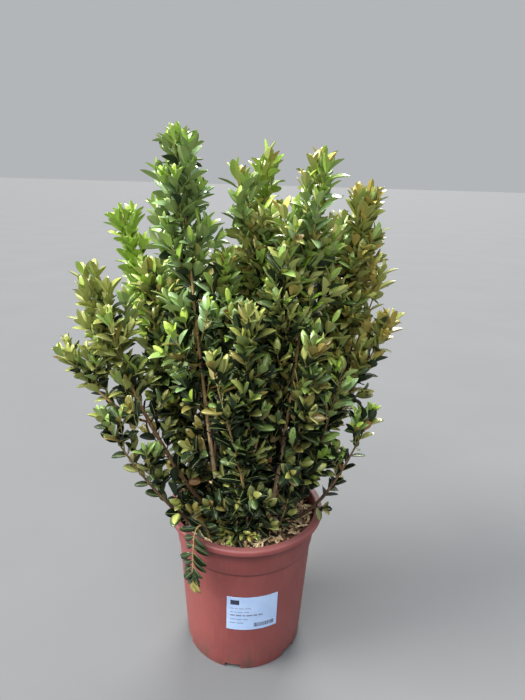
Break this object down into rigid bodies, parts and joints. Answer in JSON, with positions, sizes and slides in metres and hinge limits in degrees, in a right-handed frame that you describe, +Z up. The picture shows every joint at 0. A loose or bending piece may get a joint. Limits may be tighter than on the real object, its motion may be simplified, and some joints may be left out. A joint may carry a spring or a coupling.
{
  "type": "potted boxwood shrub",
  "caption": "Young unclipped boxwood shrub of upright leafy stems fanning out from a tapered terracotta-coloured plastic nursery pot with a wide rim.",
  "frame": {"origin": "centre of the pot's flat underside, on the surface it stands on", "axes": "+Z up along the pot's axis, -Y towards the side with the label, +X to the right of someone who faces the label"},
  "size_m": [0.4639, 0.37, 0.7274],
  "materials": {
    "pot": "matt terracotta-coloured plastic",
    "potting_mix": "rough bark and compost",
    "label": "smooth coated label",
    "bark": "rough tan bark",
    "foliage": "semi-gloss leaves"
  },
  "bodies": {
    "root": {"pot": "pot", "potting_mix": "potting_mix", "label": "label", "back_centre": "foliage", "back_left": "foliage", "back_low": "foliage", "back_low_left": "foliage", "back_low_right": "foliage", "back_right": "foliage", "basal_back": "foliage", "basal_front": "foliage", "basal_left": "foliage", "basal_right": "foliage", "basal_side": "foliage", "centre_fill": "foliage", "centre_left": "foliage", "centre_tall": "foliage", "far_right": "foliage", "front_centre": "foliage", "front_left": "foliage", "front_right": "foliage", "hanging_shoot": "foliage", "left_back": "foliage", "left_column": "foliage", "left_fill": "foliage", "left_inner": "foliage", "left_low": "foliage", "left_reach": "foliage", "left_upper": "foliage", "right_centre": "foliage", "right_low": "foliage", "right_mid": "foliage", "right_outer": "foliage", "right_tall": "foliage", "stem_back_centre": "bark", "stem_back_left": "bark", "stem_back_low": "bark", "stem_back_low_left": "bark", "stem_back_low_right": "bark", "stem_back_right": "bark", "stem_centre_fill": "bark", "stem_centre_left": "bark", "stem_centre_tall": "bark", "stem_far_right": "bark", "stem_front_centre": "bark", "stem_front_left": "bark", "stem_front_right": "bark", "stem_left_back": "bark", "stem_left_column": "bark", "stem_left_fill": "bark", "stem_left_inner": "bark", "stem_left_low": "bark", "stem_left_reach": "bark", "stem_left_upper": "bark", "stem_right_centre": "bark", "stem_right_low": "bark", "stem_right_mid": "bark", "stem_right_outer": "bark", "stem_right_tall": "bark"}
  },
  "joints": []
}
